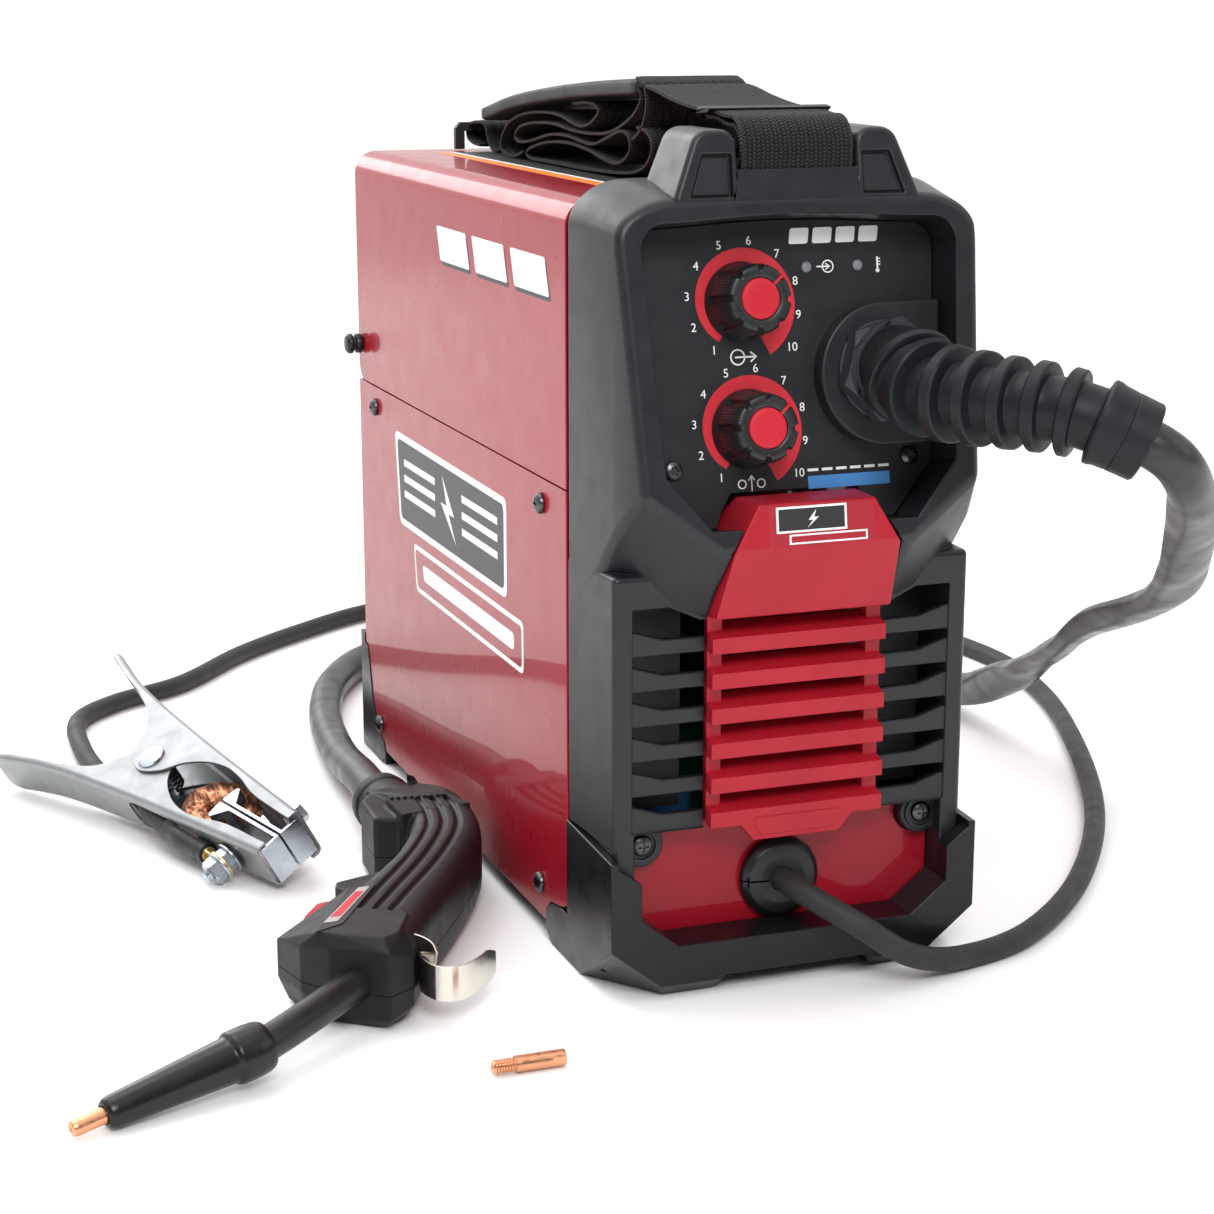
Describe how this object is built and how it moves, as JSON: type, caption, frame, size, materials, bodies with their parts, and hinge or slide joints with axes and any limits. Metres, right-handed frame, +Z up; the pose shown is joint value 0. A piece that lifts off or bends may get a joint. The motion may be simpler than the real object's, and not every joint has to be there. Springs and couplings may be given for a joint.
{
  "type": "wire-feed welder",
  "caption": "Small flux-cored wire-feed welder: red case, charcoal front with two dials, hose to a gun, ground cable to a clamp, carrying strap and tip-up cover.",
  "frame": {"origin": "on the floor under the middle of the machine's own box, without its cables, gun and clamp", "axes": "+Z up, the control panel faces -Y, +X is to the right seen from the front"},
  "size_m": [0.6449, 0.8137, 0.3705],
  "materials": {
    "red_paint": "glossy powder coat",
    "red_plastic": "satin moulded",
    "black_plastic": "satin, fine texture",
    "gloss_black": "glossy moulded",
    "rubber": "soft satin",
    "webbing": "woven nylon webbing",
    "zinc": "zinc-plated pressed steel",
    "dark_steel": "black-finished steel",
    "copper": "bright copper",
    "circuit_board": "green laminate",
    "lamp_lens": "frosted lens",
    "aluminium": "cast aluminium"
  },
  "bodies": {
    "machine": {"base_pan": "dark_steel", "cable_boot": "rubber", "cable_grommet": "rubber", "clamp_lower_arm": "zinc", "clamp_pivot": "zinc", "clamp_spring": "dark_steel", "clamp_stud": "zinc", "control_board": "circuit_board", "control_panel": "black_plastic", "drive_motor": "aluminium", "fan_frame": "black_plastic", "front_bezel": "black_plastic", "front_bumper": "gloss_black", "front_grille": "red_plastic", "front_plate": "red_paint", "gland_nut": "black_plastic", "gun_cable": "rubber", "gun_contact_tip": "copper", "gun_hook": "zinc", "gun_lower_shell": "black_plastic", "gun_neck": "gloss_black", "gun_nozzle": "rubber", "gun_upper_shell": "black_plastic", "hood_pivot_left": "dark_steel", "hood_pivot_right": "dark_steel", "left_side_panel": "red_paint", "mid_shelf": "dark_steel", "power_board": "circuit_board", "power_lamp": "lamp_lens", "rear_bumper": "gloss_black", "rear_panel": "red_paint", "right_side_panel": "red_paint", "side_screw_lower_front": "dark_steel", "side_screw_lower_rear": "dark_steel", "side_screw_upper_front": "dark_steel", "side_screw_upper_rear": "dark_steel", "spare_contact_tip": "copper", "spool_spindle": "black_plastic", "strap_bar": "zinc", "strap_front_loop": "webbing", "thermal_lamp": "lamp_lens", "work_cable": "rubber"},
    "hood_cover": {"hood": "red_paint", "strap_rear_bracket": "dark_steel", "carry_strap": "webbing", "strap_grip": "rubber"},
    "latch": {"hood_latch": "dark_steel"},
    "voltage_control": {"voltage_knob": "black_plastic"},
    "wire_speed_control": {"wire_speed_knob": "black_plastic"},
    "rocker": {"power_switch": "gloss_black"},
    "trigger": {"gun_trigger": "red_plastic"},
    "clamp_jaw": {"clamp_upper_arm": "zinc"},
    "spool": {"wire_spool": "zinc"},
    "driver": {"drive_roll": "zinc"},
    "pressure_arm": {"idle_arm": "aluminium"},
    "pressure_roll": {"idle_roll": "zinc"},
    "tensioner": {"tension_screw": "black_plastic"},
    "fan": {"fan_rotor": "black_plastic"}
  },
  "joints": [
    {"name": "hood_hinge", "type": "hinge", "parent": "machine", "child": "hood_cover", "pos_m": [0, 0.192, 0.2265], "axis": [-1, 0, 0], "range_deg": [0, 70]},
    {"name": "latch_turn", "type": "hinge", "parent": "hood_cover", "child": "latch", "pos_m": [0.0833, -0.1125, 0.2275], "axis": [1, 0, 0], "range_deg": [0, 90]},
    {"name": "voltage_turn", "type": "hinge", "parent": "machine", "child": "voltage_control", "pos_m": [-0.0186, -0.16825, 0.2863], "axis": [0, -0.984, 0.1781], "range_deg": [-88, 193.5]},
    {"name": "wire_speed_turn", "type": "hinge", "parent": "machine", "child": "wire_speed_control", "pos_m": [-0.0186, -0.17739, 0.2358], "axis": [0, -0.984, 0.1781], "range_deg": [-88, 193.5]},
    {"name": "switch_rock", "type": "hinge", "parent": "machine", "child": "rocker", "pos_m": [0.055, 0.1982, 0.15], "axis": [-1, 0, 0], "range_deg": [0, 14]},
    {"name": "trigger_pull", "type": "hinge", "parent": "machine", "child": "trigger", "pos_m": [-0.1905, -0.1245, 0.0195], "axis": [0, 0, -1], "range_deg": [0, 9], "stiffness_Nm_per_rad": 0.05, "springref_deg": -8.59},
    {"name": "clamp_open", "type": "hinge", "parent": "machine", "child": "clamp_jaw", "pos_m": [-0.2141, 0.0984, 0.0268], "axis": [-0.4744, -0.222, 0.8519], "range_deg": [0, 25], "stiffness_Nm_per_rad": 1.5, "springref_deg": -28.65},
    {"name": "spool_spin", "type": "hinge", "parent": "machine", "child": "spool", "pos_m": [0.0395, 0.052, 0.2615], "axis": [1, 0, 0], "continuous": true},
    {"name": "drive_roll_spin", "type": "hinge", "parent": "machine", "child": "driver", "pos_m": [0.0395, -0.088, 0.243], "axis": [1, 0, 0], "continuous": true},
    {"name": "pressure_arm_lift", "type": "hinge", "parent": "machine", "child": "pressure_arm", "pos_m": [0.0395, -0.061, 0.2725], "axis": [-1, 0, 0], "range_deg": [0, 30]},
    {"name": "pressure_roll_spin", "type": "hinge", "parent": "pressure_arm", "child": "pressure_roll", "pos_m": [0.0395, -0.088, 0.271], "axis": [1, 0, 0], "continuous": true},
    {"name": "tensioner_swing", "type": "hinge", "parent": "machine", "child": "tensioner", "pos_m": [0.0395, -0.1175, 0.2425], "axis": [1, 0, 0], "range_deg": [0, 35]},
    {"name": "fan_spin", "type": "hinge", "parent": "machine", "child": "fan", "pos_m": [-0.022, 0.1835, 0.105], "axis": [0, 1, 0], "continuous": true}
  ],
  "couplings": [
    {"joint": "pressure_roll_spin", "follows": "drive_roll_spin", "ratio": -1.25}
  ]
}
